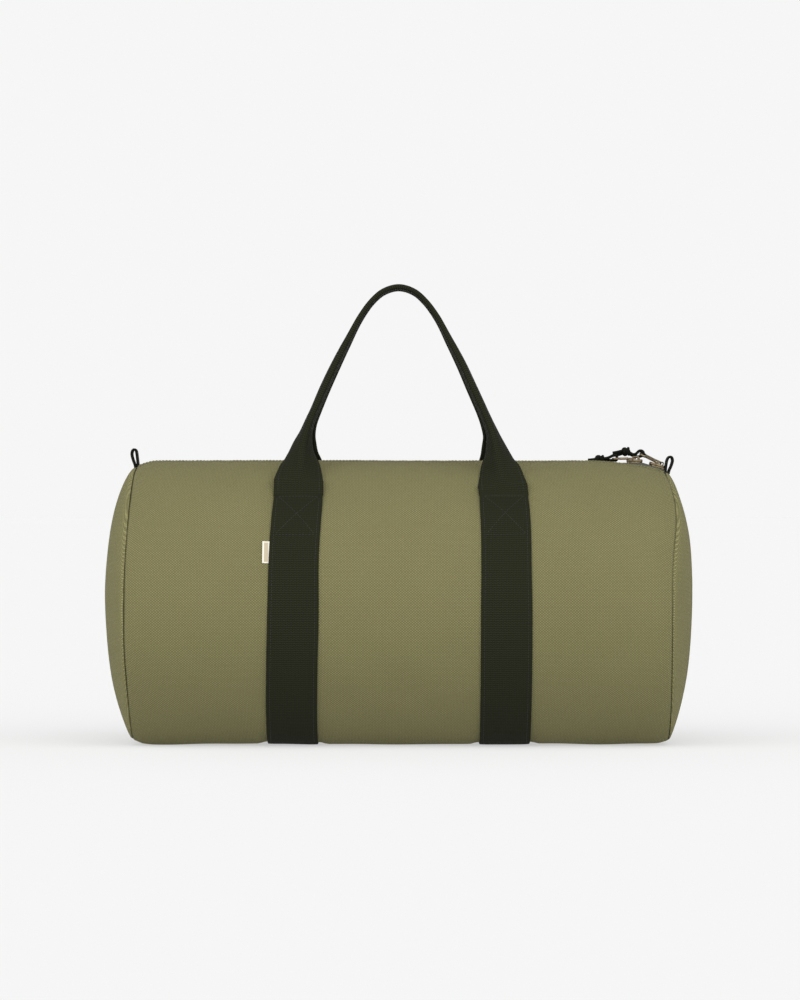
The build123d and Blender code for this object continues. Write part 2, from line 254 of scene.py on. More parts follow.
def relief(x, w):
    """How far the cloth stands in or out of its plain shape."""
    s = from_top(w)
    rest = smooth((HALF - s - 8) / 50)
    edge = SEAM_X - np.abs(x)
    across = [np.abs(x - strap_x(w, side)) for side in (-1, 1)]
    out = 0.75 * ripple(x, w) * rest * (0.35 + 0.65 * smooth((s - 15) / 45))
    pucker = np.sin(w * 0.62 + 1.7 * np.sin(w * 0.083) + 0.4 * np.sign(x)) * (0.6 + 0.4 * np.sin(w * 0.057))
    out = out + 0.14 * pucker * bump(edge - 5, 6.5) * rest
    out = out - 2.4 * bump(edge, 1.1)
    for gap in across:
        out = out - 4.2 * bump(s - ROOT - 2, 21) * bump(np.maximum(gap - 21, 0), 12)
        out = out - 0.35 * bump(gap - 27, 5) * smooth((s - ROOT) / 30) * rest
    zip_pucker = np.sin(x * 0.36 + 1.3 * np.sin(x * 0.05)) * (0.6 + 0.4 * np.sin(x * 0.031 + 1))
    out = out + 0.35 * zip_pucker * bump(s - 19, 8)
    out = out + 0.9 * smooth((15.5 - s) / 2.2) - 0.9 * smooth((60 - s) / 50)
    beside = np.minimum(*across) - WEB_W / 2
    sag = 1.6 * smooth((s - TURN + 70) / 60) * smooth((beside - 2) / 9)
    return out + sag * smooth(edge / 12)


def normal_of(surface, x, w, step):
    """Outward normals of a surface at x and w, from its slopes over this step."""
    dx = surface(x + step, w) - surface(x - step, w)
    dw = surface(x, w + step) - surface(x, w - step)
    return unit(np.cross(dw, dx))


def canvas(x, w):
    """Points and normals of the finished outer face at x and w."""
    x, w = np.broadcast_arrays(np.asarray(x, float), np.asarray(w, float))

    def full(x, w):
        return shape(x, w) + normal_of(shape, x, w, 0.4) * relief(x, w)[..., None]

    return full(x, w), normal_of(full, x, w, 0.5)


# ---- Materials ----
class Nodes:
    """A node tree, and short ways to add and join its nodes."""

    def __init__(self, owner):
        owner.use_nodes = True
        self.tree = owner.node_tree

    def put(self, node, values):
        """Joins each output to the node's input of that name or number, or sets its plain value."""
        for key, value in values.items():
            if isinstance(value, bpy.types.NodeSocket):
                self.tree.links.new(value, node.inputs[key])
            else:
                node.inputs[key].default_value = value

    def node(self, kind, inputs, **settings):
        made = self.tree.nodes.new(kind)
        for key, value in settings.items():
            setattr(made, key, value)
        self.put(made, inputs)
        return made

    def maths(self, operation, *values):
        return self.node("ShaderNodeMath", dict(enumerate(values)), operation=operation).outputs[0]

    def plus(self, a, b):
        return self.maths("ADD", a, b)

    def times(self, a, b):
        return self.maths("MULTIPLY", a, b)

    def sine(self, a):
        """Sine of half a turn for each unit of a."""
        return self.maths("SINE", self.times(a, math.pi))

    def size(self, a):
        return self.maths("ABSOLUTE", a)

    def between(self, a, low, high):
        return self.times(self.maths("GREATER_THAN", a, low), self.maths("LESS_THAN", a, high))

    def spread(self, value, **ends):
        """A value from 0 to 1 brought to other ends, such as from_min or to_max."""
        inputs = {key.replace("_", " ").title(): end for key, end in ends.items()}
        return self.node("ShaderNodeMapRange", {"Value": value, **inputs}).outputs[0]

    def mix(self, factor, a, b, blend="MIX"):
        inputs = {0: factor, 6: a, 7: b}
        return self.node("ShaderNodeMix", inputs, data_type="RGBA", blend_type=blend).outputs[2]


class Surface(Nodes):
    """The nodes of a new material with a Principled shader."""

    def __init__(self, name):
        self.material = bpy.data.materials.new(name)
        super().__init__(self.material)
        self.shader = self.tree.nodes["Principled BSDF"]

    def threads(self, u_pitch, v_pitch):
        """The uv of the surface, and u and v counted in threads of these pitches."""
        uv = self.node("ShaderNodeUVMap", {}, uv_map="UVMap").outputs["UV"]
        parts = self.node("ShaderNodeSeparateXYZ", {"Vector": uv})
        u = self.times(parts.outputs["X"], 1000 / u_pitch)
        v = self.times(parts.outputs["Y"], 1000 / v_pitch)
        return uv, u, v

    def place(self):
        return self.node("ShaderNodeTexCoord", {}).outputs["Object"]

    def noise(self, place, scale, detail):
        inputs = {"Vector": place, "Scale": scale, "Detail": detail}
        return self.node("ShaderNodeTexNoise", inputs).outputs["Fac"]

    def finish(self, colour, height, strength, distance, values):
        """The material with this colour, a bump of this distance in millimetres, and these values."""
        inputs = {"Height": height, "Strength": strength, "Distance": distance * MM}
        normal = self.node("ShaderNodeBump", inputs).outputs["Normal"]
        self.put(self.shader, {"Base Color": colour, "Normal": normal, **values})
        return self.material


def rgb(*display):
    """Linear colour from 0-255 display values."""
    linear = [c / 255 / 12.92 if c <= 10 else ((c / 255 + 0.055) / 1.055) ** 2.4 for c in display]
    return (*linear, 1.0)


def scaled(colour, factor):
    return (*[min(1.0, c * factor) for c in colour[:3]], 1.0)


def woven(name, dark, light, pitch, depth, sheen=0.15, contrast=0.15):
    """Plain-woven cloth: threads over and under one another, with uneven yarn."""
    s = Surface(name)
    uv, u, v = s.threads(*pitch)
    su, sv = s.sine(u), s.sine(v)
    over = s.maths("GREATER_THAN", s.times(su, sv), 0.0)
    under = s.maths("SUBTRACT", 1.0, over)
    height = s.plus(s.times(s.size(su), over), s.times(s.size(sv), under))
    height = s.plus(height, s.times(s.noise(uv, 900.0, 3.0), 0.5))
    # Low parts of the threads take the darker colour: painted shade between the threads. The over and under
    # tone is the weave's own.
    tone = s.plus(s.times(height, 0.75), s.times(s.maths("SUBTRACT", over, 0.5), contrast))
    shade = s.plus(0.9, s.times(s.noise(uv, 14.0, 4.0), 0.1))
    shade = s.plus(shade, s.times(s.noise(uv, 260.0, 2.0), 0.1))
    grey = s.node("ShaderNodeCombineColor", {"Red": shade, "Green": shade, "Blue": shade})
    colour = s.mix(1.0, s.mix(tone, dark, light), grey.outputs[0], "MULTIPLY")
    values = {"Roughness": 0.9, "Specular IOR Level": 0.06, "Sheen Weight": sheen, "Sheen Roughness": 0.5}
    return s.finish(colour, height, 0.75, depth, values)


def ribbed(name, dark, light, pitch, depth, sheen):
    """Webbing: ribs across it, and a fine zigzag of its surface yarns. v runs along the webbing."""
    s = Surface(name)
    uv, u, v = s.threads(1.7, pitch)
    zigzag = s.maths("PINGPONG", u, 1.0)
    rib = s.size(s.sine(s.plus(v, s.times(zigzag, 0.32))))
    yarns = s.size(s.sine(u))
    height = s.plus(s.times(rib, 0.8), s.times(yarns, 0.35))
    height = s.plus(height, s.times(s.noise(uv, 1300.0, 3.0), 0.4))
    values = {"Roughness": 0.85, "Specular IOR Level": 0.08, "Sheen Weight": sheen, "Sheen Roughness": 0.45}
    # The grooves between ribs and yarns take the darker colour: painted shade.
    return s.finish(s.mix(s.times(height, 0.62), dark, light), height, 0.8, depth, values)


def metal(name, base, worn_and_highlight, rough):
    """Antiqued plating: darker in patches, and lighter at sharp edges as rubbed plating and painted highlight,
    with fine scratches.
    """
    s = Surface(name)
    place = s.place()
    patch = s.noise(place, 240.0, 5.0)
    pointed = s.node("ShaderNodeNewGeometry", {}).outputs["Pointiness"]
    # Sharp edges take the lighter colour, scaled up: partly rubbed plating, partly painted highlight.
    rubbed_and_highlight = s.times(s.spread(pointed, from_min=0.5, from_max=0.56), patch)
    colour = s.mix(s.spread(patch, from_min=0.36, from_max=0.66), base, worn_and_highlight)
    colour = s.mix(rubbed_and_highlight, colour, scaled(worn_and_highlight, 1.5))
    gloss = s.spread(patch, to_min=rough - 0.08, to_max=rough + 0.14)
    return s.finish(colour, s.noise(place, 2600.0, 2.0), 0.2, 0.04, {"Metallic": 1.0, "Roughness": gloss})


def braid(name, dark, light):
    """Braided cord: fine crossing strands."""
    s = Surface(name)
    strands = s.node("ShaderNodeTexVoronoi", {"Vector": s.place(), "Scale": 1500.0})
    height = s.maths("SUBTRACT", 1.0, strands.outputs["Distance"])
    values = {"Roughness": 0.85, "Specular IOR Level": 0.12}
    # The gaps between strands take the darker colour: painted shade.
    return s.finish(s.mix(height, dark, light), height, 0.7, 0.3, values)


def plain(name, colour, rough):
    """Sewing thread or moulded nylon: one colour with slight unevenness."""
    s = Surface(name)
    uneven = s.noise(s.place(), 1800.0, 2.0)
    return s.finish(s.mix(uneven, scaled(colour, 0.75), colour), uneven, 0.4, 0.1, {"Roughness": rough})


LABEL_W, LABEL_TURN = 8.6, (63.0, 71.8)  # its width, and its ends in degrees round the barrel
STRIPE_U, STRIPE_V = (1.7, 5.9), (167.4, 187.8)  # the stripe's sides and ends on the label


def label_material():
    """Cream woven label with a wide buff stripe down its length and fine ribs."""
    s = Surface("label")
    _uv, u, v = s.threads(1.0, 1.0)
    stripe = s.times(s.between(u, *STRIPE_U), s.between(v, *STRIPE_V))
    rib = s.size(s.sine(s.times(v, 2.0)))
    # The rib grooves take the darker cream and buff: painted shade. The stripe is the label's own.
    cream = s.mix(rib, rgb(196, 191, 174), rgb(222, 219, 204))
    buff = s.mix(rib, rgb(150, 139, 116), rgb(186, 174, 150))
    return s.finish(s.mix(stripe, cream, buff), rib, 0.5, 0.2, {"Roughness": 0.7})


YARNS = (1.45, 1.3)  # the pitches of the canvas's threads
CANVAS_MAT = woven("canvas", rgb(56, 55, 33), rgb(131, 127, 89), YARNS, 0.42, 0.02, 0.6)
# The end panels' canvas is painted lighter than the wrap's: painted light that makes up for the shade on the
# ends.
END_LIGHTENED_MAT = woven("canvas_end_lightened", rgb(59, 58, 35), rgb(137, 133, 93), YARNS, 0.42, 0.02, 0.6)
LINING_MAT = woven("canvas_inside", rgb(56, 54, 36), rgb(115, 112, 80), YARNS, 0.30, 0.02, 0.3)
WEB_MAT = ribbed("webbing", rgb(3, 4, 1), rgb(42, 44, 30), 2.3, 0.55, sheen=0.0)
LOOP_MAT = ribbed("loop_webbing", rgb(9, 9, 6), rgb(27, 28, 21), 1.5, 0.25, sheen=0.02)
BIND_MAT = woven("binding", rgb(26, 27, 19), rgb(50, 51, 38), (0.6, 0.6), 0.12)
TAPE_MAT = woven("zip_tape", rgb(38, 39, 29), rgb(62, 63, 47), (0.5, 0.5), 0.1)
TOOTH_MAT = plain("zip_teeth", rgb(40, 41, 32), 0.45)
THREAD_MAT = plain("canvas_thread", rgb(92, 90, 64), 0.8)
SEAM_THREAD_MAT = plain("seam_thread", rgb(66, 64, 43), 0.8)
DARK_THREAD_MAT = plain("webbing_thread", rgb(27, 29, 20), 0.8)
METAL_MAT = metal("zip_metal", rgb(14, 12, 8), rgb(118, 106, 84), 0.36)
CORD_MAT = braid("pull_cord", rgb(4, 5, 2), rgb(24, 26, 17))
LABEL_MAT = label_material()


# ---- Camera, light and floor ----
CAMERA_PLACE, LENS, SENSOR = (0.0, -4.6, 0.2493), 160.8, 36.0
LIGHT_BASE = 0.9216
# Where a light or a dimmer stands, how many degrees it spreads, and its strength
LIGHTS = (((0, 0, 1), 60, -0.9), ((-0.02, -0.82, 0.57), 75, 2.0), ((0, -1, 0), 40, -0.8))
FLOOR_GLOW, FLOOR_WHITE, FLOOR_HALF = 0.50, 0.347, 60

camera = put_in_scene("camera", bpy.data.cameras.new("camera"))
camera.location = CAMERA_PLACE
camera.rotation_euler = (math.pi / 2, 0, 0)
camera.data.sensor_fit = "VERTICAL"
camera.data.sensor_width = SENSOR
camera.data.sensor_height = SENSOR
camera.data.lens = LENS
camera.data.clip_end = 200
bpy.context.scene.camera = camera
bpy.context.scene.view_settings.view_transform = "Standard"


def make_world():
    """Even pale surroundings with a broad soft light in front, and a dimmer ceiling."""
    world = bpy.data.worlds.new("studio")
    bpy.context.scene.world = world
    nodes = Nodes(world)
    way = nodes.node("ShaderNodeTexCoord", {}).outputs["Generated"]
    light = LIGHT_BASE
    for direction, spread, strength in LIGHTS:
        towards = Vector(direction).normalized()
        dot = nodes.node("ShaderNodeVectorMath", {0: way, 1: towards}, operation="DOT_PRODUCT")
        edge = math.cos(math.radians(spread))
        inputs = {"Value": dot.outputs["Value"], "From Min": edge, "To Max": strength}
        lobe = nodes.node("ShaderNodeMapRange", inputs, interpolation_type="SMOOTHERSTEP")
        light = nodes.plus(light, lobe.outputs[0])
    nodes.put(nodes.tree.nodes["Background"], {"Color": (1, 1, 1, 1), "Strength": light})


def make_floor():
    """A wide pale floor that glows a little, so that it stays even."""
    mesh = bpy.data.meshes.new("floor")
    corners = [(x * FLOOR_HALF, y * FLOOR_HALF, 0) for x, y in ((-1, -1), (1, -1), (1, 1), (-1, 1))]
    mesh.from_pydata(corners, [], [(0, 1, 2, 3)])
    s = Surface("floor")
    s.put(s.shader, {"Base Color": (*[FLOOR_WHITE] * 3, 1), "Roughness": 1.0, "Specular IOR Level": 0.0})
    s.put(s.shader, {"Emission Color": (1, 1, 1, 1), "Emission Strength": FLOOR_GLOW})
    mesh.materials.append(s.material)
    put_in_scene("floor", mesh)


make_world()
make_floor()


# ---- Pull cords, made before the rest ----
LEFT_CORD = [
    (193.5, -2.9, 290.5), (199.0, -2.5, 290.9), (206.0, -1.5, 292.3), (212.0, -1.7, 292.0),
    (216.5, -1.6, 293.6), (219.8, -1.4, 295.6), (222.9, -1.1, 295.2), (223.8, -0.1, 292.1),
    (222.9, 0.9, 290.1), (219.6, 1.4, 290.0), (215.5, 1.6, 290.3), (212.0, 1.7, 290.8),
    (206.0, 1.5, 291.4), (199.0, 2.5, 290.8), (194.3, 2.9, 290.4),
]
RIGHT_CORD = [
    (219.4, 8.7, 297.9), (224.0, 8.8, 298.6), (229.0, 9.2, 300.0), (233.3, 9.7, 300.3),
    (237.2, 9.3, 298.2), (240.0, 8.0, 296.2), (242.6, 5.4, 296.2), (244.6, 3.0, 298.2),
    (246.4, 1.4, 300.0), (249.2, 0.5, 300.2), (251.0, 0.0, 298.0), (250.4, 0.0, 295.4),
    (248.0, 1.2, 294.2), (244.6, 4.6, 293.8), (241.0, 8.4, 294.4), (237.4, 11.0, 296.6),
    (233.3, 11.4, 298.4), (228.8, 11.9, 296.9), (224.0, 12.1, 295.6), (219.6, 12.2, 295.1),
]


def cord_curve(name, points):
    """A round cord that bends smoothly past control points in millimetres."""
    data = bpy.data.curves.new(name, "CURVE")
    data.dimensions = "3D"
    data.bevel_depth = CORD_R * MM
    data.bevel_resolution = 5
    data.resolution_u = 10
    data.use_fill_caps = True
    line = data.splines.new("NURBS")
    line.points.add(len(points) - 1)
    for point, place in zip(line.points, points):
        point.co = (*[c * MM for c in place], 1.0)
    line.order_u = 3
    line.use_endpoint_u = True
    data.materials.append(CORD_MAT)
    return put_in_scene(name, data)


def curve_length(points):
    """Length in metres of the smooth line that a NURBS curve draws from its control points."""
    p = np.asarray(points, float)
    joins = (p[1:] + p[:-1]) / 2
    joins[0], joins[-1] = p[0], p[-1]
    t = np.linspace(0, 1, 24)[:, None]
    arcs = [(1 - t) ** 2 * a + 2 * t * (1 - t) * b + t * t * c for a, b, c in zip(joins, p[1:], joins[1:])]
    return float(lengths(np.concatenate(arcs))[-1]) * MM


def knot_mesh(name, centre, size, axis):
    """An overhand knot: three thick wraps of the cord pulled tight round a core of its two strands."""
    turns, ring, core_rows, core_cols = 96, 10, 9, 14
    t, a = circle(turns), circle(ring)[:, None]
    sway = 0.30 * np.sin(t * 2 + 0.4) * (0.8 + 0.2 * np.cos(3 * t))
    path = np.stack([sway, 0.36 * np.cos(t * 3), 0.36 * np.sin(t * 3)], -1) * size
    tangent = unit(np.roll(path, -1, 0) - np.roll(path, 1, 0))
    out = unit(path - tangent * (path * tangent).sum(-1, keepdims=True))
    side = np.cross(tangent, out)
    wraps = path[:, None] + CORD_R * (out[:, None] * np.cos(a) + side[:, None] * np.sin(a))
    lat = math.pi * (np.arange(core_rows)[:, None] + 0.5) / core_rows
    lon = circle(core_cols)
    core = np.broadcast_arrays(np.cos(lat), np.sin(lat) * np.cos(lon), np.sin(lat) * np.sin(lon))
    core = np.stack(core, -1) * np.asarray(size) * 0.42
    turn = np.array(Vector((1, 0, 0)).rotation_difference(Vector(axis)).to_matrix())
    verts = np.concatenate([wraps.reshape(-1, 3), core.reshape(-1, 3)]) @ turn.T + centre
    core_faces = [tuple(i + turns * ring for i in face[::-1]) for face in ring_faces(core_rows, core_cols)]
    return mesh_object(name, verts, ring_faces(turns, ring, closed=True) + core_faces, [CORD_MAT])


def pull_cord(side, points, *knot_place):
    """A doubled cord with its knot, on one puller."""
    cord = cord_curve(f"pull_cord_{side}", points)
    knot = knot_mesh(f"pull_knot_{side}", *knot_place)
    settle(cord, "pull_cord", f"cord_{side}", body=f"puller_{side}")
    settle(knot, "pull_cord", f"cord_knot_{side}", body=f"puller_{side}")
    curve_length(points)


pull_cord("left", LEFT_CORD, (205.9, 0.0, 291.9), (12.5, 11.0, 6.6), (1, 0, 0.02))
pull_cord("right", RIGHT_CORD, (233.3, 10.6, 299.2), (11.0, 8.6, 9.0), (1, 0, 0.1))


# ---- Stitches ----
# One stitch, from end to end: how far along, how thick and how high each of its rings is
STITCH_ALONG = np.array([-1.0, -0.72, 0.0, 0.72, 1.0])
STITCH_WIDTH = np.array([0.35, 0.9, 1.0, 0.9, 0.35])
STITCH_LIFT = np.array([-0.8, 0.05, 0.3, 0.05, -0.8])
STITCH_RING = 6


def stitches(build, points, ups, material, spacing=3.4, length=2.7, thick=0.42, rise=0.1):
    """Thread stitches along a line of surface points."""
    run = lengths(points)
    a = circle(STITCH_RING)[:, None]
    faces = [face[::-1] for face in ring_faces(len(STITCH_ALONG), STITCH_RING)]
    for start in np.arange(0.3, run[-1] - length, spacing):
        middle = start + length / 2
        at = read(middle + STITCH_ALONG * length / 2, run, points)
        up = unit(read(middle, run, ups))
        side = np.cross(unit(at[-1] - at[0]), up)
        centre = at + up * (rise + STITCH_LIFT * thick)[:, None]
        oval = np.cos(a) * side + 0.75 * np.sin(a) * up
        shell = centre[:, None] + (thick * STITCH_WIDTH)[:, None, None] * oval
        normal = np.broadcast_to(np.cos(a) * side + np.sin(a) * up, shell.shape)
        count = shell.shape[0] * shell.shape[1]
        build.add(shell.reshape(-1, 3), faces, np.zeros((count, 2)), normal.reshape(-1, 3), material)


def hem_stitches(build, x0, x1, w, material):
    """A row of stitches beside the zip."""
    stitches(build, *canvas(np.arange(x0, x1, 1.7), w), material)


# ---- Canvas: wrap and mouth ----
def graded(stops, steps):
    """Values through these stops, with about these steps between them."""
    values = []
    for start, end, step in zip(stops, stops[1:], steps):
        count = max(1, int(round((end - start) / step)))
        values.extend(np.linspace(start, end, count, endpoint=False))
    return np.array(values + [stops[-1]])


ZONES = (("left", -210, -80), ("middle", -80, 60), ("right", 60, 190))
MOUTH_X0, MOUTH_X1 = ZONES[0][1], ZONES[-1][2]
FRONT, REAR = (0, MOUTH_W), (GIRTH - MOUTH_W, GIRTH)
XS = graded(
    (-275, -272, -266, -254, MOUTH_X0, -80, 60, MOUTH_X1, 254, 266, 272, 275),
    (0.5, 1.0, 2.0, 4.0, 4.06, 4.0, 4.06, 4.0, 2.0, 1.0, 0.5),
)
WS = graded((SLOT, 17, MOUTH_W, GIRTH - MOUTH_W, GIRTH - 17, GIRTH - SLOT), (1.0, 3.4, 3.9, 3.4, 1.0))
MID_X, MID_W = (XS[1:] + XS[:-1]) / 2, (WS[1:] + WS[:-1]) / 2
GX, GW = np.meshgrid(XS, WS, indexing="ij")
CANVAS_UV = np.stack([GX, GW], -1)
OUTER, CANVAS_N = canvas(GX, GW)
HEMMED = CANVAS + 1.3 * smooth((15.5 - from_top(GW)) / 2.2)
INNER = OUTER - CANVAS_N * HEMMED[..., None]


def quads_in(x0, x1, w0, w1):
    return ((MID_X > x0) & (MID_X < x1))[:, None] & ((MID_W > w0) & (MID_W < w1))


def canvas_piece(name, keep, hems=()):
    """The canvas where keep allows, both faces, with rims where the cloth really ends."""
    build = Build()
    build.grid(OUTER, CANVAS_N, CANVAS_UV, keep, flip=True)
    build.grid(INNER, -CANVAS_N, CANVAS_UV, keep, material=1)
    for row, beyond, flip in ((0, 1, False), (-1, -2, True)):
        used = np.flatnonzero(np.append(keep[:, row], False) | np.append(False, keep[:, row]))
        for run in np.split(used, np.flatnonzero(np.diff(used) > 1) + 1) if len(used) else ():
            away = unit(OUTER[run, row] - OUTER[run, beyond])
            build.rim(OUTER[run, row], INNER[run, row], CANVAS_UV[run, row], away, flip)
    for x0, x1, w in hems:
        hem_stitches(build, x0, x1, w, 2)
    return build.make(name, [CANVAS_MAT, LINING_MAT, THREAD_MAT])


def zone_blend(piece):
    """Bakes a piece of the mouth's transform into its mesh."""
    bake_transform(piece)


mouth = quads_in(MOUTH_X0, MOUTH_X1, *FRONT) | quads_in(MOUTH_X0, MOUTH_X1, *REAR)
wrap = canvas_piece("canvas_wrap", ~mouth)
settle(wrap, "canvas", "main_panel")

for side, where, bounds in ((-1, "front", FRONT), (1, "rear", REAR)):
    for zone, x0, x1 in ZONES:
        hems = [(x0, x1, w if side < 0 else GIRTH - w) for w in HEM_ROWS]
        piece = canvas_piece(f"mouth_canvas_{where}_{zone}", quads_in(x0, x1, *bounds), hems)
        zone_blend(piece)
        if zone == "middle":
            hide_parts(f"mouth_flap_{where}")

end_hems = Build()
for x0, x1 in ((-272, MOUTH_X0), (MOUTH_X1, 271)):
    for w in HEM_ROWS:
        hem_stitches(end_hems, x0, x1, w, 0)
        hem_stitches(end_hems, x0, x1, GIRTH - w, 0)
settle(end_hems.make("zip_end_stitching", [THREAD_MAT]), "canvas")


# ---- End panels ----
def end_surface(sign, r, w):
    """End panel at r, from 1 at its seam to 0 in its middle."""
    rim = shape(np.full_like(w, sign * SEAM_X), w)
    y, z = rim[..., 1], rim[..., 2]
    depth, above, below = DOME[sign]
    fullness = below + (above - below) * smooth((z - 60) / 170)
    bulge = depth * np.maximum(1 - r * r, 0) ** fullness
    wobble = 0.9 * ripple(120 * r * np.cos(w / 150) + 300 * sign, 120 * r * np.sin(w / 150)) * (1 - r**6)
    dip = -bump((1 - r) * END_REACH, 1.2)
    x = sign * (SEAM_X + 0.2 + bulge + wobble + dip * 0.4) + seam_shift(w, sign) * r * r
    scale = r * (1 + 0.8 * dip / END_REACH)
    return np.stack([x, y * scale, DRAWN_Z + (z - DRAWN_Z) * scale], -1)


def end_panel(sign, where):
    build = Build()
    near_seam, centre = 0.06, 0.985
    rs = np.concatenate([near_seam * np.linspace(0, 1, 21)[:-1] ** 2, np.linspace(near_seam, centre, 44)])
    gr, gw = np.meshgrid(1 - rs, np.linspace(0, GIRTH, 401), indexing="ij")
    p = end_surface(sign, gr, gw)
    e = np.minimum(0.0002 + 0.3 * (1 - gr), 0.004)
    dr = end_surface(sign, np.minimum(gr + e, 1.0), gw) - end_surface(sign, np.maximum(gr - e, 0.001), gw)
    dw = end_surface(sign, gr, gw + 0.5) - end_surface(sign, gr, gw - 0.5)
    n = unit(np.cross(dr, dw))
    n = n * sign * np.sign(n[..., 0].mean())
    faces = ((p, n, sign), (p - n * CANVAS, -n, -sign))
    for material, (surface, normal, outward) in enumerate(faces):
        build.grid(surface, normal, p[..., 1:], flip=outward > 0, material=material)
    for material, (surface, normal, outward) in enumerate(faces):
        ring = surface[-1, :-1]
        verts = np.vstack([ring, ring.mean(0)])
        fan = [(i, (i + 1) % len(ring), len(ring))[::outward] for i in range(len(ring))]
        build.add(verts, fan, verts[:, 1:], np.vstack([normal[-1, :-1], [[outward, 0, 0]]]), material)
    panel = build.make(f"end_canvas_{where}", [END_LIGHTENED_MAT, LINING_MAT])
    settle(panel, "canvas", f"end_panel_{where}")
    ws = np.linspace(0, GIRTH, 560)
    ws = ws[from_top(ws) > 24]
    thread = Build()
    stitches(thread, *canvas(sign * (SEAM_X - 1.3), ws), 0, spacing=3.6, length=2.6, thick=0.28, rise=0.0)
    settle(thread.make(f"end_seam_stitching_{where}", [SEAM_THREAD_MAT]), "canvas")


# Half of the binding's section: how far aside and how deep it is
BINDING = ((0.6, 2.0), (1.0, 6.0), (0.9, 11.0), (0.0, 12.4), (-0.9, 11.0), (-1.0, 6.0), (-0.6, 2.0))


def binding(sign, where):
    """Binding tape folded over the seam's raw edges, inside the bag."""
    build = Build()
    ws = np.linspace(24, GIRTH - 24, 200)
    p, n = canvas(sign * (SEAM_X - 1.5), ws)
    lean = (2.2 + 0.8 * np.sin(ws * 0.21) + 0.5 * np.sin(ws * 0.47 + 1)) / 12
    rows = []
    for aside, depth in BINDING:
        x = aside - sign * (3.0 + depth * lean)
        rows.append(p - n * depth + np.stack([x, 0 * x, 0 * x], -1))
    grid = np.stack(rows)
    uv = np.stack(np.meshgrid(np.arange(len(BINDING)) * 4.0, ws, indexing="ij"), -1)
    normal = unit(np.cross(np.gradient(grid, axis=0), np.gradient(grid, axis=1)))
    build.grid(grid, normal, uv)
    for row, order in ((0, -1), (-1, 1)):
        build.add(grid[:, row], [tuple(range(len(BINDING)))[::order]], uv[:, row], normal[:, row])
    settle(build.make(f"seam_tape_{where}", [BIND_MAT]), "binding", f"seam_binding_{where}")


for make in (end_panel, binding):
    for sign, where in ((-1, "left"), (1, "right")):
        make(sign, where)


# ---- Webbing ----
def web_profile(width, thick):
    """Closed section of flat webbing: (across, height, normal across, normal height)."""
    half, r = width / 2, thick / 2
    rows = [(a, thick, 0.0, 1.0) for a in np.linspace(-half + r, half - r, 17)]
    for t in np.linspace(math.pi / 2, -math.pi / 2, 5)[1:-1]:
        rows.append((half - r + r * math.cos(t), r + r * math.sin(t), math.cos(t), math.sin(t)))
    return np.vstack([rows, [0, thick, 0, 0] - np.array(rows)])


def tube_grid(build, p, n, uv):
    """Closed-section sweep: p is (stations, section, 3)."""
    build.grid(*(np.concatenate([a, a[:, :1]], 1) for a in (p, n, uv)))
    for row, beyond, order in ((0, 1, 1), (-1, -2, -1)):
        away = unit(p[row].mean(0) - p[beyond].mean(0))
        build.add(p[row], [tuple(range(p.shape[1]))[::order]], uv[row], np.tile(away, (p.shape[1], 1)))


def strap_point(side, across, w, height):
    """A point above the canvas on a strap, and its normal."""
    s = from_top(np.asarray(w, float))
    spread = 1 + 0.026 * smooth((s - 190) / 60)
    p, n = canvas(strap_x(w, side) + across * spread, w)
    lift = 0.25 + 1.3 * bump(s - ROOT, 16)
    return p + n * (np.asarray(height) + lift)[..., None], n


def strap(side, where):
    """A strap with a row of stitches near each edge and a crossed box of them at each end."""
    build = Build()
    start, end = ROOT + ROOT_LAP, GIRTH - ROOT - ROOT_LAP
    profile = web_profile(WEB_W, WEBBING)
    gw, ga = np.meshgrid(np.linspace(start, end, 230), profile[:, 0], indexing="ij")
    p, n = strap_point(side, ga, gw, profile[:, 1])
    p[..., 2] = np.maximum(p[..., 2], 0.02)
    normal = profile[:, 2, None] * np.array([1.0, 0, 0]) + n * profile[:, 3, None]
    tube_grid(build, p, unit(normal), np.stack([ga, gw], -1))
    for across in (-21.2, 21.2):
        q, m = strap_point(side, across, np.arange(start + 4, end - 4, 2.0), WEBBING)
        ok = q[:, 2] > 4.0
        stitches(build, q[ok], m[ok], 1, spacing=3.5, length=2.6, thick=0.34, rise=0.0)
    top, low, t = ROOT + 3.5, ROOT + 55.0, np.linspace(0, 1, 24)
    sides = ((-20, top, 20, top), (-20, low, 20, low), (-20, top, 20, low), (20, top, -20, low))
    for rear in (False, True):
        for a0, w0, a1, w1 in sides:
            w = w0 + (w1 - w0) * t
            q, m = strap_point(side, a0 + (a1 - a0) * t, GIRTH - w if rear else w, WEBBING)
            stitches(build, q, m, 1, spacing=3.3, length=2.5, thick=0.38, rise=0.02)
    piece = build.make(f"strap_webbing_{where}", [WEB_MAT, DARK_THREAD_MAT])
    settle(piece, "webbing", f"strap_{where}")


strap(-1, "left")
strap(1, "right")


